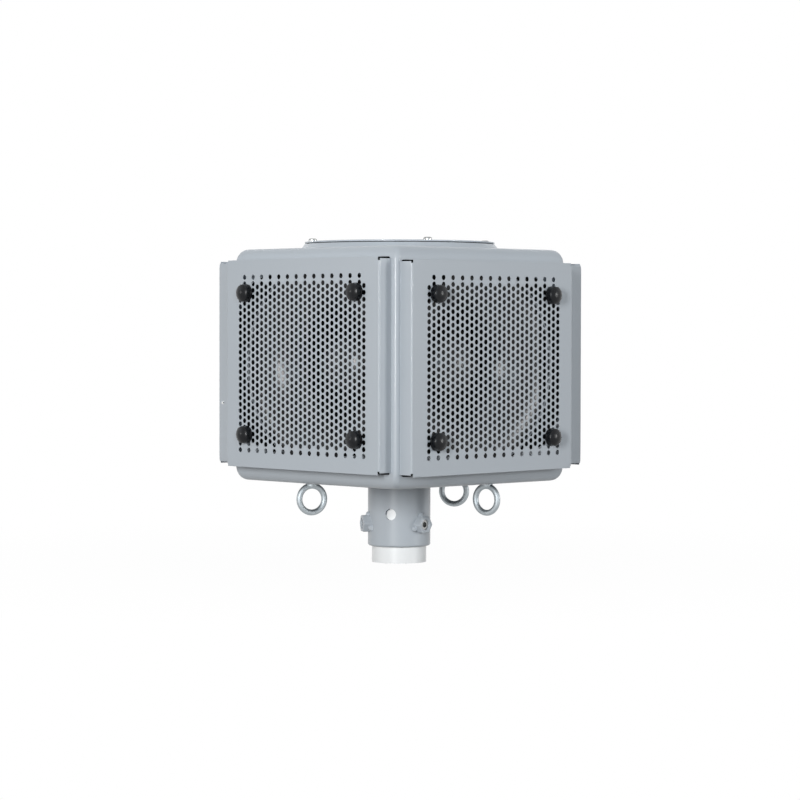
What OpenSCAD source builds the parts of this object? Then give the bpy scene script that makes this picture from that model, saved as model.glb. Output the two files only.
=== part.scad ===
// Four-way siren loudspeaker head on a stub of its mast. Sizes in millimetres, up is +Z,
// and the origin is the middle of the mast's cut lower end.

/* [Mast and socket] */
// Outside diameter of the mast tube
mast_d = 63.5; // [50:0.5:76]
// Wall of the mast tube
mast_wall = 3; // [2:0.5:5]
// Length of mast that shows below the socket
mast_show = 19; // [10:1:60]
// Radial gap between mast and socket
socket_gap = 0.75; // [0.5:0.05:1]
// Wall of the socket pipe
socket_wall = 4; // [3:0.5:6]
// Length of the socket pipe under the cabinet
socket_len = 76; // [64:1:100]
// Rounding of the socket's lower rim
socket_lip_r = 2.5; // [1:0.5:3]
// Diameter of the sight hole that shows the mast
sight_d = 13; // [8:1:16]
// Drop of the sight hole below the cabinet
sight_drop = 38; // [30:1:46]

/* [Clamp screws] */
// Width across flats of the weld nuts
nut_af = 19; // [16:0.5:22]
// Height of the weld nuts
nut_h = 8.5; // [6:0.5:12]
// Drop of the nuts below the cabinet
nut_drop = 50; // [40:1:52]
// Diameter of the clamp screws
clamp_d = 12; // [10:1:12]
// Depth of the clamp screw's outer end inside its nut
clamp_sink = 2.5; // [1:0.5:3]

/* [Cabinet] */
// Width and depth of the cabinet
cabinet_w = 273; // [250:1:320]
// Height of the cabinet
cabinet_h = 270; // [240:1:320]
// Wall of the cabinet
cabinet_wall = 3; // [2:0.5:4]
// Set-in of the roof and floor over the rolled edges
edge_in = 9.5; // [8:0.5:12]
// Height of the rolled edges
edge_rise = 16; // [12:1:16]
// Rounding of the upright corners
corner_r = 6; // [5:0.5:8]
// Diameter of the cable hole in the floor
cable_d = 40; // [20:1:50]

/* [Grilles] */
// Cabinet wall left bare beside a grille
grille_side = 8; // [7:0.5:12]
// Cabinet wall left bare above and below a grille
grille_end = 16.75; // [16:0.25:24]
// Distance of the front and right grilles' faces from the cabinet wall
grille_stand = 18.4; // [16:0.2:24]
// Distance of the back and left grilles' faces, which stand deeper
far_stand = 37.2; // [18:0.2:45]
// Sheet thickness
sheet_t = 1; // [0.8:0.1:2]
// Outside radius of the two bends
bend_r = 3.2; // [2.6:0.2:5]
// Shortening of the bent flanges at top and bottom
flange_short = 2; // [1:0.5:6]
// Diameter of the punched holes
hole_d = 5.4; // [3:0.1:5.6]
// Spacing of the holes in a column
hole_pitch = 7.5; // [7:0.1:9]
// Spacing of the columns
column_pitch = 7.43; // [7:0.01:9]
// Rise of the odd columns over the even ones, in hole spacings
column_step = 1.5; // [0.5:0.5:1.5]
// Least distance of the outer columns from the grille's side
punch_side = 24; // [18:1:40]
// Least distance of the end holes from the grille's top and bottom
punch_end = 18; // [12:1:40]

/* [Grille studs] */
// Diameter of the black domed heads
stud_d = 20.5; // [18:0.5:24]
// Height of the heads' straight side
stud_rim = 6.6; // [3:0.2:8]
// Height of the dome over the straight side
stud_dome = 4.8; // [3.6:0.1:6]
// Rounding between the straight side and the dome
stud_round = 2.5; // [1:0.5:3]
// Diameter of the stems
stem_d = 6; // [5:0.5:7]
// Distance of the studs from the grille's side
stud_side = 35.9; // [30:0.1:40]
// Distance of the studs from the grille's top and bottom
stud_end = 36.85; // [30:0.05:40]
// Diameter of the small rivet in one flange
rivet_d = 4; // [3:0.5:6]
// Drop of the rivet below the grille's middle
rivet_drop = 46; // [20:1:60]
// Distance of the rivet behind the grille's face
rivet_in = 7.8; // [7:0.2:12]

/* [Loudspeakers] */
// Cabinet wall left around the round mouth, at its narrowest
mouth_side = 23; // [21:0.5:45]
// Depth of the flare from mouth to throat
flare_depth = 62; // [50:1:68]
// Wall of the flare
flare_wall = 3; // [2:0.5:4]
// Width of the flange round the mouth
flare_flange = 7; // [5:0.5:8]
// Gap between the throat and the domed diaphragm
dome_gap = 3; // [1:0.5:8]
// Height of the dome for each millimetre of its diameter
dome_rise = 0.385; // [0.2:0.005:0.45]

/* [Lid] */
// Diameter of the lid
lid_d = 221; // [200:1:222]
// Thickness of the lid
lid_t = 1.8; // [1.4:0.2:4]
// Set-in of the lid on the collar's top
lid_in = 0.5; // [0.5:0.5:3]
// Slope of the collar outwards to its foot
collar_slope = 4.5; // [2:0.5:6]
// Width of the collar's top
collar_land = 13; // [11:0.5:20]
// Height of the collar
collar_h = 4.6; // [4:0.2:8]
// Thickness of the gasket
gasket_t = 0.8; // [0.6:0.2:2]
// Set-in of the gasket under the lid's rim
gasket_in = 2; // [1:0.5:4]
// Distance of the lid screws from the collar's rim
lid_screw_in = 6; // [5.5:0.5:9.5]
// Diameter of the lid screws
lid_screw_d = 5; // [4:0.5:6]
// Diameter of the lid screw heads
lid_head_d = 9.7; // [8:0.1:11]
// Height of the lid screw heads
lid_head_h = 3.2; // [2:0.2:4]
// Turn of the lid screws about the mast
lid_screw_turn = 63.5; // [45:0.5:89]

/* [Eye bolts] */
// Outside diameter of the rings
eye_d = 37.5; // [34:0.5:42]
// Thickness of the ring bar
eye_bar = 6.8; // [6:0.2:8]
// Diameter of the shank
eye_shank_d = 10; // [8:1:12]
// Width of the collar round the shank
eye_collar = 2; // [1:0.5:3]
// Height of the nut inside the cabinet
eye_nut_h = 8; // [6:0.5:10]
// Length of shank above the cabinet floor
eye_tail = 14; // [12:1:24]
// Distance of the bolts in from the cabinet's side
eye_in = 21.5; // [20:0.5:30]

/* [Hidden] */

// Fits of stems, shanks and threads in their holes, on the diameter
stem_fit = 0.4;
thread_fit = 0.2;
// Gap between a piece and the round tube it is set against
seat_gap = 0.1;
// Length by which a cutter reaches past the face it cuts
past = 1;

// Levels above the mast's cut end, and the planes of the cabinet walls
cabinet_z = mast_show + socket_len;
cabinet_mid = cabinet_z + cabinet_h / 2;
cabinet_top = cabinet_z + cabinet_h;
wall_out = cabinet_w / 2;
wall_in = wall_out - cabinet_wall;

socket_bore = mast_d + 2 * socket_gap;
socket_d = socket_bore + 2 * socket_wall;
nut_z = cabinet_z - nut_drop;

// Grille sheet, its punching and its studs
grille_w = cabinet_w - 2 * grille_side;
grille_h = cabinet_h - 2 * grille_end;
columns = 2 * floor((grille_w / 2 - punch_side) / column_pitch) + 1;
column_holes = floor((grille_h - 2 * punch_end) / hole_pitch - column_step) + 1;
stud_x = grille_w / 2 - stud_side;
stud_z = grille_h / 2 - stud_end;
function stand(side) = side < 2 ? grille_stand : far_stand;

mouth_d = min(cabinet_w, cabinet_h) - 2 * mouth_side;
throat_r = mouth_d / 2 - flare_depth;
dome_d = 2 * (throat_r - dome_gap);
dome_h = dome_d * dome_rise;
dome_ball_r = (dome_d * dome_d / 4 + dome_h * dome_h) / (2 * dome_h);

collar_top_d = lid_d + 2 * lid_in;
collar_bore_d = collar_top_d - 2 * collar_land;
lid_screw_r = collar_top_d / 2 - lid_screw_in;

ring_mid_r = (eye_d - eye_bar) / 2;
eye_r = wall_out - eye_in;

// Directions round the mast, counted from +X, and the way each ring faces
nut_turns = [0, 120, 240];
sight_turn = 300;
eye_turns = [16.5, 101, 255.5];
eye_faces = [98, 119, 160];

// Paint and bare metal
paint = [0.66, 0.69, 0.73];
mast_white = [0.90, 0.91, 0.91];
black = [0.05, 0.05, 0.055];
zinc = [0.72, 0.72, 0.70];
steel = [0.62, 0.62, 0.63];

$fn = 48;

// Turns a piece made for the front, which faces -Y, to another side
module on_side(side) rotate([0, 0, 90 * side]) children();

// A quarter-round corner of radius r, filled, for profiles
module quarter(r) intersection() {
    circle(r);
    square(r);
}

// Part of a ball cut flat, with its base on the plane: a domed head or diaphragm
module ball_cap(ball_r, h) rotate_extrude() intersection() {
    translate([0, h - ball_r]) circle(ball_r);
    square([2 * ball_r, h]);
}

// Corner points of a square with rounded corners
function round_square(half, r, steps = 8) = [
    for (c = [0:3], i = [0:steps])
        let (a = 90 * c + 90 * i / steps, q = 90 * c + 45, m = (half - r) * sqrt(2))
            [m * cos(q) + r * cos(a), m * sin(q) + r * sin(a)]
];

// The cabinet's outer form: rounded squares stacked from the floor to the roof. Going in over
// the rolled edge the corners open out, as they do on a pressed and welded box.
module cabinet_form() {
    corner_opening = 0.3;
    bends = [for (t = [0:10:90]) t];
    levels = concat(
        [for (t = bends) [edge_rise * (1 - cos(t)), edge_in * (1 - sin(t))]],
        [for (t = bends) [cabinet_h - edge_rise * (1 - sin(t)), edge_in * (1 - cos(t))]]
    );
    rings = [
        for (l = levels)
            [for (q = round_square(wall_out - l[1], corner_r + corner_opening * l[1])) [q[0], q[1], l[0]]]
    ];
    n = len(rings[0]);
    skin = [
        for (k = [0:len(rings) - 2], i = [0:n - 1])
            let (a = k * n + i, b = k * n + (i + 1) % n) each [[a, b + n, b], [a, a + n, b + n]]
    ];
    floor_cap = [[for (i = [0:n - 1]) i]];
    roof_cap = [[for (i = [n - 1:-1:0]) (len(rings) - 1) * n + i]];
    polyhedron([for (r = rings, q = r) q], concat(skin, floor_cap, roof_cap));
}

// The hollow inside: two crossing prisms with bevelled edges, so the wall stays even at the bends
module cabinet_hollow() {
    bevel_in = edge_in * 0.55;
    bevel_rise = edge_rise * 0.55;
    high = cabinet_h / 2 - cabinet_wall;
    module slice() translate([0, cabinet_h / 2]) polygon([
        [-wall_in, -high + bevel_rise], [-wall_in + bevel_in, -high],
        [wall_in - bevel_in, -high], [wall_in, -high + bevel_rise],
        [wall_in, high - bevel_rise], [wall_in - bevel_in, high],
        [-wall_in + bevel_in, high], [-wall_in, high - bevel_rise]
    ]);
    intersection() {
        rotate([90, 0, 0]) linear_extrude(2 * wall_in, center = true) slice();
        rotate([90, 0, 90]) linear_extrude(2 * wall_in, center = true) slice();
    }
}

module stud_places() for (sx = [-1, 1], sz = [-1, 1]) translate([sx * stud_x, sz * stud_z]) children();

module mast() color(mast_white) difference() {
    cylinder(h = cabinet_z, d = mast_d);
    translate([0, 0, -past]) cylinder(h = cabinet_z + 2 * past, d = mast_d - 2 * mast_wall);
}

// A round hole of diameter d through one side of the socket, z above its lower rim
module socket_hole(turn, z, d) rotate([0, 90, turn]) translate([-z, 0, socket_bore / 2 - socket_wall])
    cylinder(h = 3 * socket_wall, d = d);

// Pipe welded under the cabinet, with a rounded lower rim, a sight hole and the screw holes
module socket() color(paint) translate([0, 0, mast_show]) difference() {
    rotate_extrude() translate([socket_bore / 2, 0]) {
        translate([0, socket_lip_r]) square([socket_wall, socket_len - socket_lip_r]);
        square([socket_wall - socket_lip_r, socket_lip_r]);
        translate([socket_wall - socket_lip_r, socket_lip_r]) mirror([0, 1]) quarter(socket_lip_r);
    }
    socket_hole(sight_turn, socket_len - sight_drop, sight_d);
    for (a = nut_turns) socket_hole(a, socket_len - nut_drop, clamp_d + stem_fit);
}

// Weld nut saddled onto the round pipe, flats level, with a chamfered outer rim
module nut(k) color(paint) rotate([0, 0, nut_turns[k]]) translate([0, 0, nut_z]) difference() {
    rotate([0, 90, 0]) intersection() {
        rotate([0, 0, 30]) cylinder(h = socket_d / 2 + nut_h, d = nut_af / cos(30), $fn = 6);
        cylinder(h = socket_d / 2 + nut_h, r1 = nut_af * 0.53 + socket_d / 2 + nut_h, r2 = nut_af * 0.53);
    }
    translate([0, 0, -nut_af]) cylinder(h = 2 * nut_af, d = socket_d + seat_gap);
    rotate([0, 90, 0]) cylinder(h = socket_d + nut_h, d = clamp_d + thread_fit);
}

// Headless clamp screw with a six-sided socket, its tip on the mast
module clamp(k) color(steel) rotate([0, 0, nut_turns[k]]) translate([0, 0, nut_z]) rotate([0, 90, 0]) {
    tip = mast_d / 2 + seat_gap;
    end = socket_d / 2 + nut_h - clamp_sink;
    difference() {
        translate([0, 0, tip]) cylinder(h = end - tip, d = clamp_d);
        translate([0, 0, end - clamp_d / 2]) cylinder(h = clamp_d, d = clamp_d / 2 / cos(30), $fn = 6);
    }
}

module cabinet() color(paint) translate([0, 0, cabinet_z]) {
    through = cabinet_wall + 2 * past;
    difference() {
        cabinet_form();
        cabinet_hollow();
        for (s = [0:3]) on_side(s) translate([0, -wall_in + past, cabinet_h / 2]) rotate([90, 0, 0]) {
            cylinder(h = through, d = mouth_d);
            stud_places() cylinder(h = through, d = stem_d + stem_fit);
        }
        translate([0, 0, cabinet_h - cabinet_wall - past]) cylinder(h = through, d = collar_bore_d);
        translate([0, 0, -past]) cylinder(h = through, d = cable_d);
        for (a = eye_turns) rotate([0, 0, a]) translate([eye_r, 0, -past])
            cylinder(h = through, d = eye_shank_d + stem_fit);
    }
}

module lid_screw_places() for (k = [0:3]) rotate([0, 0, lid_screw_turn + 90 * k])
    translate([lid_screw_r, 0, 0]) children();

module lid_collar() color(paint) translate([0, 0, cabinet_top]) difference() {
    cylinder(h = collar_h, d1 = collar_top_d + 2 * collar_slope, d2 = collar_top_d);
    translate([0, 0, -past]) cylinder(h = collar_h + 2 * past, d = collar_bore_d);
    lid_screw_places() cylinder(h = collar_h + past, d = lid_screw_d + thread_fit);
}

module lid_gasket() color(black) translate([0, 0, cabinet_top + collar_h]) difference() {
    cylinder(h = gasket_t, d = lid_d - 2 * gasket_in);
    translate([0, 0, -past]) cylinder(h = gasket_t + 2 * past, d = collar_bore_d);
    lid_screw_places() translate([0, 0, -past]) cylinder(h = gasket_t + 2 * past, d = lid_screw_d + stem_fit);
}

module lid() color(paint) translate([0, 0, cabinet_top + collar_h + gasket_t]) difference() {
    cylinder(h = lid_t, d = lid_d);
    lid_screw_places() translate([0, 0, -past]) cylinder(h = lid_t + 2 * past, d = lid_screw_d + stem_fit);
}

// Round-topped socket screws that reach through lid and gasket into the collar
module lid_screws() color(steel) translate([0, 0, cabinet_top]) lid_screw_places() difference() {
    top = collar_h + gasket_t + lid_t;
    round_r = lid_head_h * 0.6;
    union() {
        cylinder(h = top + lid_head_h / 2, d = lid_screw_d);
        translate([0, 0, top]) rotate_extrude() {
            square([lid_head_d / 2 - round_r, lid_head_h]);
            square([lid_head_d / 2, lid_head_h - round_r]);
            translate([lid_head_d / 2 - round_r, lid_head_h - round_r]) quarter(round_r);
        }
    }
    translate([0, 0, top + lid_head_h * 0.3]) cylinder(h = lid_head_h, d = lid_head_d * 0.45, $fn = 6);
}

// Face plate with its punched columns. Odd columns stand higher than even ones, and the punch
// skips the places where a stud passes.
module grille_face() difference() {
    stud_web = 0.8;
    square([grille_w - 2 * bend_r, grille_h], center = true);
    for (c = [0:columns - 1], h = [0:column_holes - 1])
        let (
            x = (c - (columns - 1) / 2) * column_pitch,
            rise = (c % 2 == 0 ? -0.5 : 0.5) * column_step,
            z = (h - (column_holes - 1) / 2 + rise) * hole_pitch,
            web = norm([abs(x) - stud_x, abs(z) - stud_z]) - (stem_d + stem_fit + hole_d) / 2
        )
        if (web > stud_web) translate([x, z]) circle(d = hole_d);
    stud_places() circle(d = stem_d + stem_fit);
}

// One bend and the flange behind it, in plan, for the +X edge of a grille that stands this deep
module flange_plan(depth) {
    translate([grille_w / 2 - sheet_t, -depth + bend_r]) square([sheet_t, depth - bend_r]);
    translate([grille_w / 2 - bend_r, -depth + bend_r]) mirror([0, 1]) difference() {
        quarter(bend_r);
        circle(bend_r - sheet_t);
    }
}

// Place on the flange of the left grille that shows from the front
module rivet_place() translate([grille_w / 2 - sheet_t / 2, rivet_in - stand(3), -rivet_drop])
    rotate([0, 90, 0]) children();

// Perforated sheet bent back along both upright edges to stand on the cabinet wall
module grille(side) color(paint) on_side(side) translate([0, -wall_out, cabinet_mid]) {
    flange_h = grille_h - 2 * flange_short;
    difference() {
        union() {
            translate([0, -stand(side) + sheet_t, 0]) rotate([90, 0, 0])
                linear_extrude(sheet_t) grille_face();
            translate([0, 0, -flange_h / 2]) linear_extrude(flange_h) {
                flange_plan(stand(side));
                mirror([1, 0]) flange_plan(stand(side));
            }
        }
        if (side == 3) rivet_place() cylinder(h = 3 * sheet_t, d = rivet_d / 2 + thread_fit, center = true);
    }
}

module flange_rivet() color(steel) on_side(3) translate([0, -wall_out, cabinet_mid]) rivet_place() {
    translate([0, 0, -sheet_t / 2]) cylinder(h = sheet_t, d = rivet_d / 2);
    translate([0, 0, sheet_t / 2]) cylinder(h = rivet_d * 0.35, d1 = rivet_d, d2 = rivet_d * 0.6);
}

// Head with a straight side and a dome on top, the two joined by a rounding that is tangent to both
module domed_head(r, rim, dome, rounding) rotate_extrude() {
    ball_r = (pow(r - rounding, 2) + dome * dome - rounding * rounding) / (2 * (dome - rounding));
    tangent_x = (r - rounding) * ball_r / (ball_r - rounding);
    square([r, rim]);
    translate([r - rounding, rim]) quarter(rounding);
    intersection() {
        translate([0, rim + dome - ball_r]) circle(ball_r);
        square([tangent_x, rim + dome]);
    }
}

// Domed black studs that hold the grille to the cabinet wall
module studs(side) color(black) on_side(side) translate([0, -wall_out - stand(side), cabinet_mid])
    rotate([90, 0, 0]) stud_places() {
        stem_len = stand(side) + cabinet_wall;
        domed_head(stud_d / 2, stud_rim, stud_dome, stud_round);
        translate([0, 0, -stem_len]) cylinder(h = stem_len, d = stem_d);
    }

// Loudspeaker flare: a quarter-round mouth closed by the throat plate, flanged behind the wall
module flare(side) color(black) on_side(side) translate([0, -wall_in, cabinet_mid]) rotate([-90, 0, 0])
    difference() {
        rotate_extrude() {
            intersection() {
                translate([mouth_d / 2, flare_depth]) difference() {
                    circle(flare_depth);
                    circle(flare_depth - flare_wall);
                }
                translate([throat_r, 0]) square(flare_depth);
            }
            translate([mouth_d / 2, 0]) square([flare_flange, flare_wall]);
            translate([0, flare_depth]) square([throat_r + flare_wall, flare_wall]);
        }
        stud_places() translate([0, 0, -past]) cylinder(h = flare_wall + 2 * past, d = stem_d + stem_fit);
    }

module dome(side) color(black) on_side(side) translate([0, -wall_in + flare_depth, cabinet_mid])
    rotate([90, 0, 0]) ball_cap(dome_ball_r, dome_h);

// Forged eye bolt with a small collar under the cabinet floor and a nut above it
module eye(k) color(zinc) rotate([0, 0, eye_turns[k]]) translate([eye_r, 0, cabinet_z])
    rotate([0, 0, eye_faces[k] - eye_turns[k]]) {
        translate([0, 0, -eye_d / 2]) rotate([0, 90, 0]) rotate_extrude()
            translate([ring_mid_r, 0]) circle(d = eye_bar);
        translate([0, 0, -eye_bar / 2]) cylinder(h = eye_bar / 2, d = eye_shank_d + 2 * eye_collar);
        translate([0, 0, -eye_bar / 2]) cylinder(h = eye_bar / 2 + cabinet_wall + eye_tail, d = eye_shank_d);
        translate([0, 0, cabinet_wall]) cylinder(h = eye_nut_h, d = 1.7 * eye_shank_d / cos(30), $fn = 6);
    }

mast();
socket();
nut(0);  // nut_right
nut(1);  // nut_back
nut(2);  // nut_front
clamp(0);  // clamp_right
clamp(1);  // clamp_back
clamp(2);  // clamp_front
cabinet();
lid_collar();
lid_gasket();
lid();
lid_screws();
grille(0);  // grille_front
grille(1);  // grille_right
grille(2);  // grille_back
grille(3);  // grille_left
flange_rivet();
studs(0);  // studs_front
studs(1);  // studs_right
studs(2);  // studs_back
studs(3);  // studs_left
flare(0);  // flare_front
flare(1);  // flare_right
flare(2);  // flare_back
flare(3);  // flare_left
dome(0);  // dome_front
dome(1);  // dome_right
dome(2);  // dome_back
dome(3);  // dome_left
eye(0);  // eye_right
eye(1);  // eye_back
eye(2);  // eye_front
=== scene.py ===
import math

import bmesh
import bpy
import numpy as np
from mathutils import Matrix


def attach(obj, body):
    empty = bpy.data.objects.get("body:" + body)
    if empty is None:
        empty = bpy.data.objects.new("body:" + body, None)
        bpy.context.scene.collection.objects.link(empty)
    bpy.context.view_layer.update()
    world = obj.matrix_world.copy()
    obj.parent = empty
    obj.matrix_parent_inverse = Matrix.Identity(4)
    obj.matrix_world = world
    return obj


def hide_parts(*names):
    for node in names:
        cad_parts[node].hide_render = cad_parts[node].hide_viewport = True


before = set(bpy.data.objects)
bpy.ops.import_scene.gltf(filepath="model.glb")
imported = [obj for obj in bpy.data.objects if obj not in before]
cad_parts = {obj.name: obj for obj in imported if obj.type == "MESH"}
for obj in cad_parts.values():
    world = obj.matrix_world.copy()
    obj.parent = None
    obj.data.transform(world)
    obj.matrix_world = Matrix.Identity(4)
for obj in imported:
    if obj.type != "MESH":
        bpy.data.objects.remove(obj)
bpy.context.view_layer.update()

# MAST
# A round steel tube, sprayed semi-gloss white, that the head is slipped over. The bore stays bare
# zinc, and the tube is cut square at the bottom.
mm = 0.001
mast_bore_r, bore_margin = 28.75, 0.4


class Wire:
    """One socket of a material. Sums on it add Math nodes, and node() adds any other kind of node."""

    def __init__(self, tree, socket):
        self.tree, self.socket = tree, socket

    def node(self, kind, settings, inputs, output=0):
        """A node of that kind: settings are set first, then each input gets its value or its link."""
        made = self.tree.nodes.new(kind)
        for key, value in settings.items():
            if key == "stops":
                for stop, (place, grey) in zip(made.color_ramp.elements, value):
                    stop.position, stop.color = place, (grey, grey, grey, 1)
            else:
                setattr(made, key, value)
        for key, value in inputs.items():
            if isinstance(value, Wire):
                self.tree.links.new(value.socket, made.inputs[key])
            else:
                made.inputs[key].default_value = value
        return Wire(self.tree, made.outputs[output])

    def sum(self, operation, first, second):
        return self.node("ShaderNodeMath", {"operation": operation}, {0: first, 1: second})

    def __add__(self, other):
        return self.sum("ADD", self, other)

    def __radd__(self, other):
        return self.sum("ADD", other, self)

    def __sub__(self, other):
        return self.sum("SUBTRACT", self, other)

    def __rsub__(self, other):
        return self.sum("SUBTRACT", other, self)

    def __mul__(self, other):
        return self.sum("MULTIPLY", self, other)

    def __rmul__(self, other):
        return self.sum("MULTIPLY", other, self)

    def __gt__(self, other):
        return self.sum("GREATER_THAN", self, other)

    def __lt__(self, other):
        return self.sum("LESS_THAN", self, other)

    def noise(self, size_mm, detail=2.0, rough=0.5):
        """Cloudy noise, 0 to 1, whose lumps are about size_mm across."""
        inputs = {"Vector": self, "Scale": 1 / (size_mm * mm), "Detail": detail, "Roughness": rough}
        return self.node("ShaderNodeTexNoise", {}, inputs)

    def ramp(self, low, high):
        """Spreads the values from low to high over 0 to 1, and holds them there."""
        return self.node("ShaderNodeMapRange", {}, {"Value": self, "From Min": low, "From Max": high})

    def blend(self, first, second):
        """Goes from the first colour to the second as this value goes from 0 to 1."""
        return self.node("ShaderNodeMix", {"data_type": "RGBA"}, {0: self, 6: first, 7: second}, 2)


def srgb(red, green, blue):
    """A colour as a screen shows it, 0 to 255, as the light that makes it: the usual two-part curve."""
    part = np.array([red, green, blue]) / 255
    return (*np.where(part > 0.04045, ((part + 0.055) / 1.055) ** 2.4, part / 12.92).tolist(), 1.0)


def finish(name, **sockets):
    """A material with one Principled shader. Sockets that are the same all over are set here, and the
    shader and the place on the piece come back for what changes."""
    material = bpy.data.materials.new(name)
    material.use_nodes = True
    shader = material.node_tree.nodes["Principled BSDF"]
    for key, value in sockets.items():
        shader.inputs[key.replace("_", " ")].default_value = value
    place = material.node_tree.nodes.new("ShaderNodeTexCoord").outputs["Object"]
    return material, shader, Wire(material.node_tree, place)


def feed(shader, **wires):
    """Links what changes over the surface to the shader's sockets."""
    for key, wire in wires.items():
        wire.tree.links.new(wire.socket, shader.inputs[key.replace("_", " ")])


def relief(height, depth_mm, strength=1.0):
    """Bump from a height of 0 to 1 that stands for depth_mm."""
    inputs = {"Strength": strength, "Distance": depth_mm * mm, "Height": height}
    return height.node("ShaderNodeBump", {}, inputs)


def coat(material, *names):
    """Puts a finish on CAD nodes."""
    for name in names:
        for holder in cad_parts[name].material_slots:
            holder.material = material


white_paint, shader, place = finish("mast_white_paint", Coat_Roughness=0.12)
flat_place = place.node("ShaderNodeVectorMath", {"operation": "MULTIPLY"}, {0: place, 1: (1, 1, 0)})
off_axis = place.node("ShaderNodeVectorMath", {"operation": "LENGTH"}, {0: flat_place}, 1)
in_bore = off_axis < (mast_bore_r + bore_margin) * mm
clouds, peel = place.noise(45, 3), place.noise(1.6)
white = clouds.blend(srgb(243, 244, 244), srgb(249, 250, 249))
feed(
    shader,
    Base_Color=in_bore.blend(white, srgb(150, 154, 156)),
    Metallic=in_bore * 0.9,
    Roughness=0.3 + 0.08 * clouds + 0.15 * in_bore,
    Coat_Weight=0.25 - 0.25 * in_bore,
    Normal=relief(peel, 0.03, 0.5),
)
coat(white_paint, "mast")

# SOCKET
# A short steel pipe welded under the cabinet and painted with it. Its lower rim is rounded, and a
# sight hole in its side shows when the mast is pushed right home.
paint_light, paint_deep = srgb(184, 190, 196), srgb(180, 187, 193)


def powder_coat(name, light, deep):
    """Blue-grey satin powder coat: a faint drift in tone, the fine orange peel that the powder leaves when
    it melts, and a few short rubbed marks that are a little duller."""
    material, shader, place = finish(name, Specular_IOR_Level=0.35, Coat_Weight=0.3, Coat_Roughness=0.1)
    drift, peel, grit = place.noise(70, 3), place.noise(1.3, 1), place.noise(0.5, 2)
    streaks = place.node("ShaderNodeMapping", {}, {"Vector": place, "Scale": (1, 1, 0.18)})
    rubbed = streaks.noise(9, 4, 0.65).ramp(0.66, 0.74) * place.noise(60, 1).ramp(0.52, 0.62)
    tone = drift.blend(light, deep)
    feed(
        shader,
        Base_Color=(0.16 * rubbed).blend(tone, srgb(150, 155, 163)),
        Roughness=0.34 + 0.05 * drift + 0.05 * grit + 0.12 * rubbed,
        Normal=relief(peel + 0.3 * grit, 0.04, 0.25),
    )
    return material


cabinet_paint = powder_coat("cabinet_powder_coat", paint_light, paint_deep)
coat(cabinet_paint, "socket")

# CLAMP NUTS
# Three steel nuts stand on the socket, tacked to it with weld in three places each and painted over,
# so every edge is soft. A headless stainless screw turns in each and bears on the mast.
socket_r, nut_af, nut_h, nut_bore, nut_z = 36.5, 19.0, 8.5, 12.2, 45.0
nut_turns = np.radians([0, 120, 240])
hex_power, chamfer, chamfer_slope, nut_lip, nut_sink = 26, 1.7, 0.75, 0.6, 0.2


def sides(rows, columns, close_rows=False, close_columns=True):
    """Four-cornered faces between neighbours on a grid of points, closed round on itself where asked."""
    row = np.arange(rows if close_rows else rows - 1)[:, None]
    column = np.arange(columns if close_columns else columns - 1)[None, :]
    up, on = (row + 1) % rows, (column + 1) % columns
    corners = [row * columns + column, row * columns + on, up * columns + on, up * columns + column]
    return np.stack(np.broadcast_arrays(*corners), -1).reshape(-1, 4)


def patch(grid, **closing):
    """A grid of points as a list of points and its faces."""
    return grid.reshape(-1, 3), sides(*grid.shape[:2], **closing)


def piece(name, patches, material, sharp=35):
    """One object from patches of points in millimetres. Points on the same spot are joined, which closes
    seams and poles, sides of no length drop out, and every face is turned outward."""
    starts = np.cumsum([0] + [len(points) for points, _ in patches])
    points = np.concatenate([points for points, _ in patches])
    corners = np.concatenate([faces + start for (_, faces), start in zip(patches, starts)])
    microns = np.round(points * 1000).astype(np.int64)
    _, first, spot = np.unique(microns, axis=0, return_index=True, return_inverse=True)
    corners = spot.reshape(-1)[corners]
    kept = corners != np.roll(corners, 1, axis=1)
    whole = kept.sum(1) > 2
    corners, kept = corners[whole], kept[whole]
    count = kept.sum(1)
    mesh = bpy.data.meshes.new(name)
    mesh.vertices.add(len(first))
    mesh.vertices.foreach_set("co", (points[first] * mm).astype(np.float32).ravel())
    mesh.loops.add(int(count.sum()))
    mesh.loops.foreach_set("vertex_index", corners[kept].astype(np.int32))
    mesh.polygons.add(len(count))
    mesh.polygons.foreach_set("loop_start", (np.cumsum(count) - count).astype(np.int32))
    mesh.update(calc_edges=True)
    mesh.validate()
    work = bmesh.new()
    work.from_mesh(mesh)
    bmesh.ops.recalc_face_normals(work, faces=work.faces)
    work.to_mesh(mesh)
    work.free()
    mesh.polygons.foreach_set("use_smooth", np.ones(len(mesh.polygons), bool))
    mesh.set_sharp_from_angle(angle=math.radians(sharp))
    mesh.materials.append(material)
    made = bpy.data.objects.new(name, mesh)
    bpy.context.scene.collection.objects.link(made)
    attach(made, "root")
    return made


def from_socket(turn, across, up, out):
    """Points beside a nut's middle: across and up its face, and out from the mast's axis."""
    x = out * np.cos(turn) - across * np.sin(turn)
    y = out * np.sin(turn) + across * np.cos(turn)
    return np.stack(np.broadcast_arrays(x, y, nut_z + up), -1)


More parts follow.
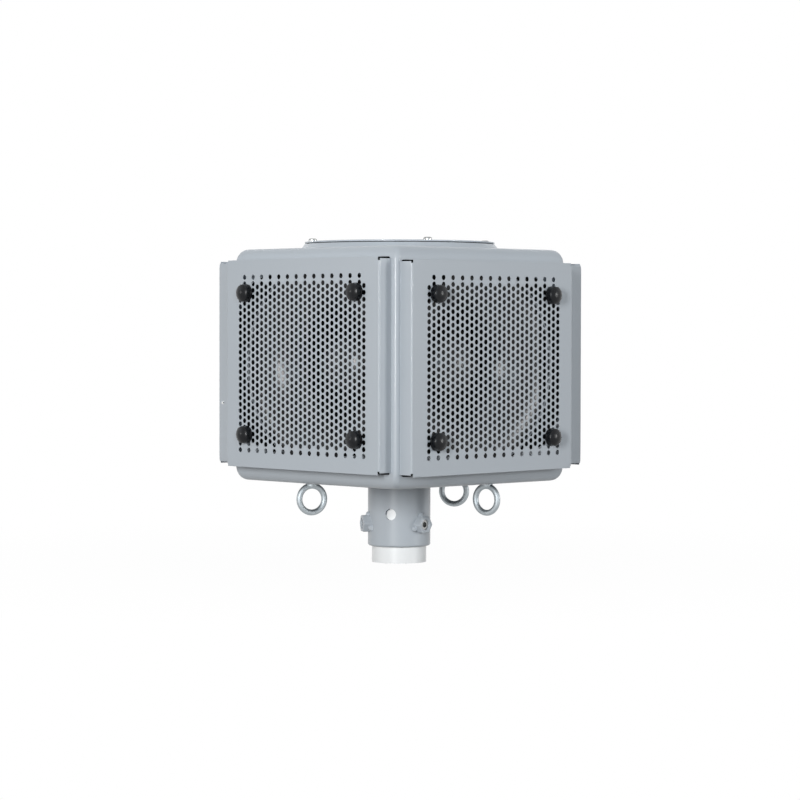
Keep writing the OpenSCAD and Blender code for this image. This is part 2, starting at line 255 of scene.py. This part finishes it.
def soft_nut(turn):
    """Going round, the radius is a rounded hexagon, the flats joined by a high power mean. Going along, it
    climbs the flats from the saddle on the pipe, rolls over the chamfer, crosses the face and returns
    down the bore."""
    round_way = np.radians(np.arange(0, 360, 5))[None, :]
    flats = np.radians([30, 90, 150])[:, None, None]
    hexagon = nut_af / 2 * (np.abs(np.cos(round_way - flats)) ** hex_power).sum(0) ** (-1 / hex_power)
    roll = np.radians(np.linspace(0, 90, 6))
    top = socket_r + nut_h
    drop = chamfer * chamfer_slope * (1 - np.sin(roll))
    inset = chamfer * (1 - np.cos(roll))
    walls = hexagon - inset[:, None]
    bore = nut_bore / 2 + nut_lip * (1 - np.sin(roll))[::-1, None] + 0 * round_way
    bore_top = top - nut_lip * (1 - np.cos(roll[::-1]))[::-1]
    radius = np.concatenate([hexagon, walls, bore[::-1], bore[:1] * 0 + nut_bore / 2])
    height = np.concatenate([[0.0], top - drop, bore_top, [0.0]])[:, None]
    across, up = radius * np.cos(round_way), radius * np.sin(round_way)
    saddle = np.sqrt(socket_r**2 - across**2) - nut_sink
    out = np.where(height > 0, height, saddle)
    return patch(from_socket(turn, across, up, out), close_rows=True)


for name, turn in zip(("right", "back", "front"), nut_turns):
    nut = piece(f"soft_nut_{name}", [soft_nut(turn)], cabinet_paint)
    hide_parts(f"nut_{name}")
tack_clocks = np.radians([90, 207, 333])
tack_reach, tack_width, tack_rise, tack_bite, tack_sink = 5.4, 3.7, 4.2, 0.4, 0.3


def tack(turn, clock, wave):
    """A weld tack: a lump about the seam of one flat and the pipe, a ball drawn out along the seam, with a
    ripple round it where the puddle set."""
    lean = np.radians(np.linspace(0, 180, 17))[:, None]
    spin = np.radians(np.arange(0, 360, 15))[None, :]
    swell = 1 + 0.09 * np.sin(3 * spin + wave) * np.sin(lean) + 0.06 * np.sin(5 * lean + 2 * wave)
    away = swell * np.sin(lean) * np.cos(spin) * tack_reach + nut_af / 2 - tack_bite
    along = swell * np.sin(lean) * np.sin(spin) * (tack_width + 0.5 * np.sin(wave))
    proud = swell * np.cos(lean) * tack_rise
    across = away * np.cos(clock) - along * np.sin(clock)
    up = away * np.sin(clock) + along * np.cos(clock)
    out = np.sqrt(socket_r**2 - across**2) + proud - tack_sink
    return patch(from_socket(turn, across, up, out))


tacks = [tack(turn, clock, 2.1 * turn + 1.3 * clock) for turn in nut_turns for clock in tack_clocks]
piece("weld_tacks", tacks, cabinet_paint, 60)


def bare_steel(name, dull, bright):
    """Stainless steel as it leaves the lathe: fine turning lines, and smudges from handling."""
    material, shader, place = finish(name, Metallic=1.0)
    turned = place.node("ShaderNodeMapping", {}, {"Vector": place, "Scale": (1, 1, 6)}).noise(1.2, 3)
    smudge = place.noise(6, 2)
    feed(
        shader,
        Base_Color=smudge.blend(dull, bright),
        Roughness=0.14 + 0.1 * turned,
        Normal=relief(turned, 0.02, 0.4),
    )
    return material


stainless = bare_steel("stainless_steel", srgb(146, 147, 146), srgb(178, 179, 178))
coat(stainless, "clamp_right", "clamp_back", "clamp_front")

# CABINET
# The box is pressed from steel sheet with large rolled edges at top and bottom and tight upright
# corners, welded, ground and powder-coated. Each wall has a round mouth, and the roof a round hatch.
cabinet_low, cabinet_high, mouth_z, wall_out, sheet = 95.0, 363.5, 230.0, 136.5, 3.0
edge_in, edge_rise, corner_r, corner_opening = 9.5, 16.0, 6.0, 0.3
mouth_r, hatch_r, cable_r, sheet_rim = 112.0, 98.0, 20.0, 0.5
corner_steps, wall_steps = 10, 24


def round_square(inset):
    """Rings of points: squares of half width wall_out less inset, with quarter-circle corners that open
    out as they go in. Each corner's arc is followed by evenly spaced points along the next side."""
    inset = np.asarray(inset, float)[:, None, None, None]
    radius = corner_r + corner_opening * inset
    turn = np.radians(90 * np.arange(4)[:, None] + np.linspace(0, 90, corner_steps + 1))
    signs = np.array([[1, 1], [-1, 1], [-1, -1], [1, -1]])[None, :, None, :]
    arcs = (wall_out - inset - radius) * signs + radius * np.stack([np.cos(turn), np.sin(turn)], -1)
    begin, end = arcs[:, :, -1:], np.roll(arcs[:, :, :1], -1, axis=1)
    share = np.linspace(0, 1, wall_steps + 1)[1:-1, None]
    return np.concatenate([arcs, begin + (end - begin) * share], 2).reshape(len(inset), -1, 2)


def at_height(ring, height):
    """Flat rings lifted to their heights."""
    height = np.broadcast_to(np.asarray(height, float).reshape(-1, 1, 1), ring.shape[:2] + (1,))
    return np.concatenate([ring, height], -1)


def to_circle(edge, radius, shares):
    """Ruled lines from a round hole to an outer edge, each running straight out from the middle."""
    rim = radius * edge / np.linalg.norm(edge, axis=-1, keepdims=True)
    shares = np.asarray(shares)[:, None, None]
    return rim + (edge - rim) * shares


def rolled_edge(level, way):
    """The rolled edge: a quarter of an ellipse, edge_rise high and edge_in deep, from the wall in to the
    roof or the floor."""
    roll = np.radians(np.linspace(0, 90, 15))
    height = level - way * edge_rise * (1 - np.sin(roll))
    return patch(at_height(round_square(edge_in * (1 - np.cos(roll))), height))


def flat_end(level, hole_r):
    """Roof or floor: from the inner end of the rolled edge to the round hole."""
    edge = round_square([edge_in])[0]
    return patch(at_height(to_circle(edge, hole_r, [0, 0.5, 0.97, 1]), level))


def quarter_turn(points, side):
    """Turns points made for the front, which looks along -Y, to another side."""
    cos, sin = [(1, 0), (0, 1), (-1, 0), (0, -1)][side]
    x, y, z = np.moveaxis(points, -1, 0)
    return np.stack([cos * x - sin * y, sin * x + cos * y, z], -1)


def mouth_wall(side):
    """One wall: the flat between the two upright corners and the rolled edges, opened by the round mouth."""
    reach = wall_out - corner_r
    low, high = cabinet_low + edge_rise - mouth_z, cabinet_high - edge_rise - mouth_z
    across = np.linspace(-reach, reach, wall_steps + 1)[:-1]
    upward = np.linspace(low, high, wall_steps + 1)
    one = np.ones(wall_steps)
    edge = np.concatenate(
        [
            np.stack([across, low * one], -1),
            np.stack([reach * one, upward[:-1]], -1),
            np.stack([-across, high * one], -1),
            np.stack([-reach * one, upward[:0:-1]], -1),
        ]
    )
    flat = to_circle(edge, mouth_r, [0, 0.5, 0.9, 0.985, 1])
    grid = np.stack([flat[..., 0], np.full(flat.shape[:2], -wall_out), flat[..., 1] + mouth_z], -1)
    return patch(quarter_turn(grid, side))


def upright_corner(side):
    """A quarter-round corner, straight from the lower rolled edge to the upper one."""
    turn = np.radians(np.linspace(-90, 0, corner_steps + 1))[None, :]
    level = np.linspace(cabinet_low + edge_rise, cabinet_high - edge_rise, wall_steps + 1)[:, None]
    middle = wall_out - corner_r
    x, y = middle + corner_r * np.cos(turn), -middle + corner_r * np.sin(turn)
    grid = np.stack(np.broadcast_arrays(x, y, level), -1)
    return patch(quarter_turn(grid, side), close_columns=False)


walls = [build(side) for side in range(4) for build in (mouth_wall, upright_corner)]
ends = [rolled_edge(cabinet_high, 1), rolled_edge(cabinet_low, -1)]
ends += [flat_end(cabinet_high, hatch_r), flat_end(cabinet_low, cable_r)]
cabinet = piece("pressed_cabinet", walls + ends, cabinet_paint, 60)
thick = cabinet.modifiers.new("sheet", "SOLIDIFY")
thick.thickness, thick.offset, thick.use_even_offset = sheet * mm, -1, True
soft = cabinet.modifiers.new("soft_rims", "BEVEL")
soft.width, soft.segments, soft.limit_method = sheet_rim * mm, 2, "ANGLE"
soft.angle_limit = math.radians(60)
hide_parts("cabinet")

# LOUDSPEAKERS
# Behind each mouth sits a moulded black flare with a domed diaphragm at its throat. Through the punched
# holes only their gloss shows. A black foam seal rings the mouth; its wide sides are painted shade on the
# wall.
black_moulding, shader, place = finish("black_moulding", Specular_IOR_Level=0.6)
flow, dust = place.noise(30, 2), place.noise(2.5, 4)
feed(
    shader,
    Base_Color=dust.ramp(0.45, 0.8).blend(srgb(12, 12, 14), srgb(22, 22, 24)),
    Roughness=0.21 + 0.08 * flow,
)
for name in ("front", "right", "back", "left"):
    coat(black_moulding, f"flare_{name}", f"dome_{name}")
seal_shade_half_w, seal_shade_half_h, seal_shade_lift, seal_shade_square = 127.0, 103.0, 2.0, 4.3
seal_t, seal_soft, seal_least = 1.5, 0.4, 1.5


def foam_seal_and_painted_shade(side):
    """A flat ring with soft front corners. Its inner edge is the mouth's circle, and its outer edge a
    squared oval that sits a little high, or the mouth's circle again where the oval would cross it. The
    oval's wide sides are painted shade."""
    turn = np.radians(np.arange(0, 360, 2.5))[None, :]
    wide, high = np.abs(np.cos(turn) / seal_shade_half_w), np.abs(np.sin(turn) / seal_shade_half_h)
    oval = (wide**seal_shade_square + high**seal_shade_square) ** (-1 / seal_shade_square)
    out_x, out_z = oval * np.cos(turn), oval * np.sin(turn) + seal_shade_lift
    grow = np.maximum(1, (mouth_r + seal_least) / np.hypot(out_x, out_z))
    way = np.arctan2(out_z, out_x)
    inner, outer = mouth_r + seal_soft + 0 * turn, np.hypot(out_x, out_z) * grow
    radius = np.concatenate([inner, inner, inner + seal_soft, outer - seal_soft, outer, outer])
    depth = np.array([0, seal_t - seal_soft, seal_t, seal_t, seal_t - seal_soft, 0])[:, None]
    x, z = radius * np.cos(way), mouth_z + radius * np.sin(way)
    ring = np.stack(np.broadcast_arrays(x, -wall_out - depth, z), -1)
    return patch(quarter_turn(ring, side), close_rows=True)


# Black foam for the mouth seals, and for the strips of painted shade behind the bend ends.
shade_foam, shader, place = finish("painted_shade_black", Specular_IOR_Level=0.1)
cells = place.noise(0.9, 2)
feed(
    shader,
    Base_Color=cells.blend(srgb(14, 14, 15), srgb(30, 30, 31)),
    Roughness=0.85 + 0.1 * cells,
    Normal=relief(cells, 0.3, 0.5),
)
# Seals round the mouths; their wide sides are painted shade on the walls behind the grilles.
piece("foam_seals_and_painted_shade", [foam_seal_and_painted_shade(side) for side in range(4)], shade_foam)

# GRILLES
# Each grille is punched flat from steel sheet, in columns that stand alternately high and low, then bent
# back along both upright edges, with a notch at each end of a bend, and powder-coated. The front one hangs a
# little high, the right one a little low. Black strips on the wall behind the slits at the ends of their
# bends are painted shade.
grille_w, grille_h, sheet_t, bend_r, flange_short, soft_rim = 257.0, 236.5, 1.0, 1.7, 2.0, 0.2
# How far each one stands off the wall and hangs high, and its margins' extra: top, bottom and first end.
grille_places = {"front": (18.4, 1.0), "right": (18.4, -1.0), "back": (37.2, 0.0), "left": (37.2, 1.0)}
over_size = {
    "front": (0.9, 2.0, 0.7, 1.2, 0),
    "right": (0.5, 0.5, 1.4, 0, 2.4),
    "back": (0, 0, 0, 0, 0),
    "left": (0.8, 0.8, 0, 0, 0),
}
notch, notch_in, breakout = 1.8, 1.0, 0.5
margin_x, margin_z = 112.0, 107.0
lattice_x, lattice_z = (112.0, 118.0), (106.5, 110.5)
hole_r, hole_pitch, column_pitch = 2.84, 7.5, 7.43
columns, column_holes, column_step = 29, 26, 1.5
stud_x, stud_z, stud_web = 92.6, 81.4, 6.7
face_half, half_h = grille_w / 2 - bend_r, grille_h / 2
quarter, ring_points = 4, 16
strip_x, strip_half_w, strip_z, strip_half_h, strip_t, strip_square = 115.0, 11.0, 116.2, 2.0, 1.5, 0.3
strip_points = 48


def mirrored(inner, outer):
    """Lattice lines: the even ones inside, and the outer ones on both sides."""
    outer = np.asarray(outer)
    return np.concatenate([-outer[::-1], inner, outer])


def punched_blank(stand):
    """The flat blank as a lattice of lines a quarter of a hole spacing apart. Each hole takes a block of
    four by four squares, and sixteen faces run from the block's edge to the hole's soft rim. Points are
    distance across, height and depth behind the face; the back is the same lattice one sheet deeper."""
    bend_end = face_half + bend_r * np.pi / 2
    flange_end = bend_end + stand - bend_r
    arc = face_half + bend_r * np.radians([15, 30, 45, 60, 75, 90])
    across = mirrored(
        (np.arange(columns * quarter + 1) / quarter - columns / 2) * column_pitch,
        [*lattice_x, face_half - notch_in, face_half, *arc, bend_end + 1, flange_end - soft_rim, flange_end],
    )
    span = column_holes + column_step
    flange_h = half_h - flange_short
    upward = mirrored(
        (np.arange(int(span * quarter) + 1) / quarter - span / 2) * hole_pitch,
        [*lattice_z, flange_h - notch, flange_h - soft_rim, flange_h, half_h - soft_rim, half_h],
    )
    rows, lines = len(across), len(upward)
    outer = (rows - columns * quarter - 1) // 2, (lines - int(span * quarter) - 1) // 2

    column, hole = np.divmod(np.arange(columns * column_holes), column_holes)
    x = (column - (columns - 1) / 2) * column_pitch
    rise = np.where(column % 2 == 0, -0.5, 0.5) * column_step
    z = (hole - (column_holes - 1) / 2 + rise) * hole_pitch
    open_here = np.hypot(np.abs(x) - stud_x, np.abs(z) - stud_z) > stud_web
    x, z, column, hole = x[open_here], z[open_here], column[open_here], hole[open_here]
    block_x = outer[0] + quarter * column
    block_z = outer[1] + quarter * hole + np.where(column % 2 == 0, 0, int(column_step * quarter))

    mid_x, mid_z = (across[1:] + across[:-1]) / 2, (upward[1:] + upward[:-1]) / 2
    past_face, past_end = (np.abs(mid_x) > face_half)[:, None], (np.abs(mid_z) > flange_h)[None, :]
    at_bend = ((np.abs(mid_x) > face_half - notch_in) & (np.abs(mid_x) < bend_end))[:, None]
    metal = ~(past_face & past_end | at_bend & (np.abs(mid_z) > flange_h - notch)[None, :])
    plain = metal.copy()
    step = np.arange(quarter)
    plain[block_x[:, None, None] + step[:, None], block_z[:, None, None] + step] = False
    squares = sides(rows, lines, close_columns=False)
    ring_x = np.array([0, 1, 2, 3, 4, 4, 4, 4, 4, 3, 2, 1, 0, 0, 0, 0])
    ring_z = np.array([0, 0, 0, 0, 0, 1, 2, 3, 4, 4, 4, 4, 4, 3, 2, 1])
    block_edge = (block_x[:, None] + ring_x) * lines + block_z[:, None] + ring_z

    spin = np.radians(-135 + 360 / ring_points * np.arange(ring_points))

    def hole_ring(radius, depth):
        """A circle of that radius about every hole, at that depth."""
        ring = x[:, None] + radius * np.cos(spin), z[:, None] + radius * np.sin(spin)
        return np.stack([*ring, np.full(ring[0].shape, depth)], -1).reshape(-1, 3)

    sheet_squares = squares[metal.ravel()]
    edges = np.stack([sheet_squares, np.roll(sheet_squares, -1, axis=1)], -1).reshape(-1, 2)
    _, first, times = np.unique(np.sort(edges, 1), axis=0, return_index=True, return_counts=True)
    outline = edges[first[times == 1]]
    on_outline = np.zeros(rows * lines, bool)
    on_outline[outline.ravel()] = True

    lattice = np.stack(np.meshgrid(across, upward, indexing="ij"), -1).reshape(-1, 2)
    front = np.column_stack([lattice, np.where(on_outline, soft_rim, 0.0)])
    back = np.column_stack([lattice, np.where(on_outline, sheet_t - soft_rim, sheet_t)])
    layers = [front, back, hole_ring(hole_r + soft_rim, 0.0), hole_ring(hole_r, soft_rim)]
    layers.append(hole_ring(hole_r + breakout, sheet_t))
    start = np.cumsum([0] + [len(layer) for layer in layers])
    rings = np.arange(len(x) * ring_points).reshape(-1, ring_points)
    lip, rim, tail = (start[k] + rings for k in (2, 3, 4))

    def band(first_ring, second_ring):
        """The faces between two rings of the same hole."""
        on = np.roll(first_ring, -1, axis=1), np.roll(second_ring, -1, axis=1)
        return np.stack([first_ring, on[0], on[1], second_ring], -1).reshape(-1, 4)

    faces = [
        squares[plain.ravel()],
        squares[plain.ravel()][:, ::-1] + start[1],
        band(block_edge, lip),
        band(lip, rim),
        band(rim, tail),
        band(tail, block_edge + start[1]),
        np.column_stack([outline[:, 1], outline[:, 0], outline[:, 0] + start[1], outline[:, 1] + start[1]]),
    ]
    return np.concatenate(layers), np.concatenate(faces)


def bent(blank, stand, hang, over_cut):
    """Folds the blank: past the face it turns a quarter circle of bend_r, then runs straight back as the
    flange. Outside the holes the margins grow by what this sheet was cut over size: above and below by two
    amounts each, blended from end to end, and at the first end by one."""
    s, z, depth = np.moveaxis(blank, -1, 0)
    top_0, top_1, low_0, low_1, end = over_cut
    share = 0.5 + np.clip(s / face_half, -1, 1) / 2
    above, below = (np.clip((way * z - margin_z) / (half_h - margin_z), 0, 1) for way in (1, -1))
    z = z + above * (top_0 + (top_1 - top_0) * share) - below * (low_0 + (low_1 - low_0) * share)
    over = np.abs(s) - face_half
    turn = np.clip(over / bend_r, 0, np.pi / 2)
    radius = bend_r - depth
    x = np.sign(s) * (np.minimum(np.abs(s), face_half) + radius * np.sin(turn))
    x = x - end * np.clip((-s - margin_x) / (face_half - margin_x), 0, 1)
    behind = bend_r - radius * np.cos(turn) + np.maximum(over - bend_r * np.pi / 2, 0)
    return np.stack([x, behind - wall_out - stand, z + mouth_z + hang], -1)


def painted_shade_strip(stand, across, up):
    """A flat black strip of painted shade on the wall behind one end of a bend, in the blank's terms: from
    the middle of its foot out to a squared oval, up the side and back to the middle of its face."""
    turn = np.radians(360 / strip_points * np.arange(strip_points))[None, :]
    out = np.array([0, 1, 1, 0])[:, None]
    s, z = (out * np.sign(wave) * np.abs(wave) ** strip_square for wave in (np.cos(turn), np.sin(turn)))
    s, z = across * (strip_x + strip_half_w * s), up * (strip_z + strip_half_h * z)
    depth = stand - strip_t * np.array([0, 0, 1, 1])[:, None]
    return np.stack(np.broadcast_arrays(s, z, depth), -1)


grille_paint = powder_coat("grille_powder_coat", paint_light, paint_deep)
strips = []
for side, (name, (stand, hang)) in enumerate(grille_places.items()):
    blank, faces = punched_blank(stand)
    used = np.unique(faces)
    folded = quarter_turn(bent(blank[used], stand, hang, over_size[name]), side)
    sheet_faces = np.searchsorted(used, faces)
    grille = piece(f"punched_grille_{name}", [(folded, sheet_faces)], grille_paint, 32)
    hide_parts(f"grille_{name}")
    # Black strips behind the bend ends of the front and right grilles are painted shade in the slits there.
    if name in ("front", "right"):
        flat_strips = [painted_shade_strip(stand, across, up) for across in (-1, 1) for up in (-1, 1)]
        set_strips = [bent(strip, stand, hang, over_size[name]) for strip in flat_strips]
        strips += [patch(quarter_turn(strip, side)) for strip in set_strips]
piece("painted_shade_strips", strips, shade_foam)
coat(bare_steel("rivet_steel", srgb(226, 227, 226), srgb(240, 241, 240)), "flange_rivet")

# GRILLE STUDS
# Black moulded caps, four to a side, press each grille to its wall. Each has a flat foot, a straight side
# and a domed top with the soft shine of a tool-finished moulding, and its stem ends in the wall.
stud_r, stud_foot, stud_rim, stud_top, stud_round, stem_r = 10.25, 2.2, 6.6, 11.4, 2.5, 3.0
neck_in, groove, groove_h, groove_lip, foot_soft, foot_roll = 0.35, 0.25, 0.5, 0.2, 0.4, 0.3


def stud(stand, hang, across, up):
    """Turned about its own axis from a half section: the stem, the foot with rolled edges, a fine groove, the
    straight side, a quarter-round shoulder and a ball-shaped top that is tangent to it."""
    neck = stud_r - neck_in
    dome = stud_top - stud_rim
    ball_r = ((neck - stud_round) ** 2 + dome**2 - stud_round**2) / (2 * (dome - stud_round))
    meet = math.asin((neck - stud_round) / (ball_r - stud_round))
    shoulder = np.linspace(np.pi / 2, meet, 7)
    cap = np.linspace(meet, 0, 9)[1:]
    stem_end, side_low = -stand - sheet, stud_foot + groove_h
    radius = [0, stem_r, stem_r, stud_r - foot_soft, stud_r, stud_r]
    height = [stem_end, stem_end, 0, 0, foot_soft, stud_foot - foot_roll]
    radius += [stud_r - foot_roll, neck - groove, neck - groove, neck]
    height += [stud_foot, stud_foot, side_low, side_low + groove_lip]
    shoulder_x = neck - stud_round + stud_round * np.sin(shoulder)
    shoulder_z = stud_rim + stud_round * np.cos(shoulder)
    radius = np.concatenate([radius, shoulder_x, ball_r * np.sin(cap)])[:, None]
    height = np.concatenate([height, shoulder_z, stud_top - ball_r * (1 - np.cos(cap))])[:, None]
    spin = np.radians(np.arange(0, 360, 9))[None, :]
    x, z = across + radius * np.cos(spin), mouth_z + hang + up + radius * np.sin(spin)
    return np.stack(np.broadcast_arrays(x, -wall_out - stand - height, z), -1)


stud_black, shader, place = finish("stud_black_plastic", Specular_IOR_Level=0.25)
skin, speck = place.noise(1.1, 2), place.noise(5, 3)
feed(
    shader,
    Base_Color=speck.blend(srgb(4, 6, 9), srgb(10, 13, 18)),
    Roughness=0.24 + 0.06 * speck,
    Normal=relief(skin, 0.04, 0.4),
)
for side, (name, (stand, hang)) in enumerate(grille_places.items()):
    four = [stud(stand, hang, sx * stud_x, sz * stud_z) for sx in (-1, 1) for sz in (-1, 1)]
    turned = [patch(quarter_turn(one, side)) for one in four]
    caps = piece(f"turned_studs_{name}", turned, stud_black, 40)
    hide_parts(f"studs_{name}")

# LID
# A round steel lid closes the roof hatch. It lies on a bevelled collar with a thin black gasket between,
# and four stainless button-head screws hold it down.
rubber, shader, place = finish("gasket_rubber", Specular_IOR_Level=0.3)
bloom = place.noise(8, 3)
feed(shader, Base_Color=bloom.blend(srgb(30, 31, 33), srgb(46, 47, 49)), Roughness=0.7 + 0.15 * bloom)
coat(rubber, "lid_gasket")
coat(stainless, "lid_screws")
lid_r, lid_t, lid_low, lid_soft = 110.5, 1.8, 370.4, 0.6
collar_foot_r, collar_r, collar_high = 115.2, 111.0, 369.6
collar_edge_in, collar_edge_down = np.array([0.8, 0.2, -0.15]), np.array([0, 0.15, 0.7])
full_turn = np.radians(np.arange(0, 360, 2.5))[None, :]


def spun(across, height):
    """A half section, across from the axis and up it, carried round the mast's axis."""
    across, height = np.asarray(across)[:, None], np.asarray(height)[:, None]
    x, y = across * np.cos(full_turn), across * np.sin(full_turn)
    return np.stack(np.broadcast_arrays(x, y, height), -1)


def turned_disc():
    """A disc spun from its half section: out along the underside, round the soft edge and back over it."""
    roll = np.radians(np.linspace(-90, 90, 13))
    edge_x = lid_r - lid_soft + lid_soft * np.cos(roll)
    edge_z = np.where(roll < 0, lid_low + lid_soft, lid_low + lid_t - lid_soft) + lid_soft * np.sin(roll)
    across = np.concatenate([[0, lid_r * 0.5, lid_r - 2], edge_x, [lid_r - 2, lid_r * 0.5, 0]])
    height = np.concatenate([[lid_low] * 3, edge_z, [lid_low + lid_t] * 3])
    return patch(spun(across, height))


def turned_collar():
    """A ring spun from a closed half section: up the hatch, out over the top, round its edge and down the
    slope."""
    across = [hatch_r, hatch_r, *(collar_r - collar_edge_in), collar_foot_r]
    height = [cabinet_high, collar_high, *(collar_high - collar_edge_down), cabinet_high]
    return patch(spun(across, height), close_rows=True)


collar = piece("turned_collar", [turned_collar()], cabinet_paint, 40)
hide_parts("lid_collar")
lid = piece("turned_lid", [turned_disc()], cabinet_paint, 40)
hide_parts("lid")

# EYE BOLTS
# Forged steel eyes for guy wires, bright zinc-plated, screwed up into the cabinet floor against a small
# collar. Each ring stays turned the way its thread came tight.
zinc, shader, place = finish("bright_zinc", Metallic=1.0)
spangle, forge = place.noise(3.2, 3), place.noise(14, 2)
feed(
    shader,
    Base_Color=spangle.blend(srgb(150, 157, 161), srgb(176, 182, 185)),
    Roughness=0.42 + 0.14 * forge + 0.06 * spangle,
    Normal=relief(forge + 0.3 * spangle, 0.25, 0.25),
)
coat(zinc, "eye_right", "eye_back", "eye_front")

# STUDIO
# A pale floor under the mast's cut end, a white room, soft lamps from the front left, the right and behind,
# and the camera where the photograph was taken.
scene = bpy.context.scene
floor_half, floor_bounce, floor_near, room_light = 3.0, 0.03, 0.985, 0.04


def looking(tree):
    """More than 0 for rays from the camera and for those that a mirror or clear piece sends on, else 0."""
    path = tree.nodes.new("ShaderNodeLightPath").outputs
    kinds = "Is Camera Ray", "Is Glossy Ray", "Is Transmission Ray"
    direct, glossy, clear = (Wire(tree, path[kind]) for kind in kinds)
    return direct + glossy + clear


floor_mesh = bpy.data.meshes.new("studio_floor")
floor_corners = floor_half * np.array([[-1, -1, 0], [1, -1, 0], [1, 1, 0], [-1, 1, 0]])
floor_mesh.from_pydata(floor_corners.tolist(), [], [[0, 1, 2, 3]])
studio_floor = bpy.data.objects.new("studio_floor", floor_mesh)
scene.collection.objects.link(studio_floor)
floor_white, shader, place = finish("floor_white", Roughness=0.9, Specular_IOR_Level=0.0)
shader.inputs["Base Color"].default_value = (floor_bounce, floor_bounce, floor_bounce, 1)
far = place.node("ShaderNodeVectorMath", {"operation": "LENGTH"}, {0: place}, 1).ramp(0.15, 0.7)
glow = place.node("ShaderNodeEmission", {}, {"Color": (1, 1, 1, 1), "Strength": 1.0})
shown = looking(place.tree) * (floor_near + (1 - floor_near) * far)
seen = place.node("ShaderNodeMixShader", {}, {0: shown, 1: Wire(place.tree, shader.outputs[0]), 2: glow})
floor_white.node_tree.links.new(seen.socket, floor_white.node_tree.nodes["Material Output"].inputs[0])
floor_mesh.materials.append(floor_white)

room = bpy.data.worlds.new("white_room")
scene.world = room
room.use_nodes = True
backdrop = room.node_tree.nodes["Background"]
backdrop.inputs["Color"].default_value = (1, 1, 1, 1)
feed(backdrop, Strength=looking(room.node_tree).ramp(0, 1) * (1 - room_light) + room_light)
lamp_distance, sky = 4.0, (0.74, 0.88, 1.0)


def lamp(name, azimuth, elevation, width, height, watts, colour=(1, 1, 1), mirrored_too=True):
    """An upright soft box that looks at the middle of the cabinet from that direction."""
    light = bpy.data.lights.new(name, "AREA")
    light.shape, light.size, light.size_y = "RECTANGLE", width, height
    light.energy, light.color = watts, colour
    made = bpy.data.objects.new(name, light)
    made.visible_glossy = mirrored_too
    a, e = math.radians(azimuth), math.radians(elevation)
    away = np.array([math.cos(e) * math.cos(a), math.cos(e) * math.sin(a), math.sin(e)])
    made.location = away * lamp_distance + np.array([0, 0, mouth_z * mm])
    made.rotation_euler = (math.pi / 2 - e, 0, a + math.pi / 2)
    scene.collection.objects.link(made)


lamp("key_soft_box", -65, 8, 0.5, 1.5, 113)
lamp("front_soft_box", -34, 12, 0.8, 1.4, 20, sky)
lamp("side_soft_box", 26, 5, 0.6, 1.3, 51)
lamp("left_lamp", -122, 5, 0.25, 0.5, 12)
lamp("left_window", -136, 24, 1.7, 1.0, 5, sky)
lamp("right_window", 44, 24, 1.7, 1.0, 2.5, sky)
lamp("top_soft_box", -50, 75, 2.3, 2.3, 10, sky)
lamp("back_soft_box", 112, 28, 1.0, 1.4, 62, mirrored_too=False)
lamp("back_left_soft_box", 165, 28, 1.0, 1.4, 56, mirrored_too=False)
lamp("back_top_soft_box", 135, 58, 1.6, 1.6, 38, mirrored_too=False)

camera = bpy.data.cameras.new("photo_camera")
camera.sensor_width, camera.lens = 36, 118.31
viewer = bpy.data.objects.new("photo_camera", camera)
viewer.location = (2.20734, -2.12877, 0.2768)
viewer.rotation_euler = [math.radians(angle) for angle in (90 - 1.6498, -0.1110, 46.0277)]
scene.collection.objects.link(viewer)
scene.camera = viewer
scene.view_settings.view_transform = "Standard"
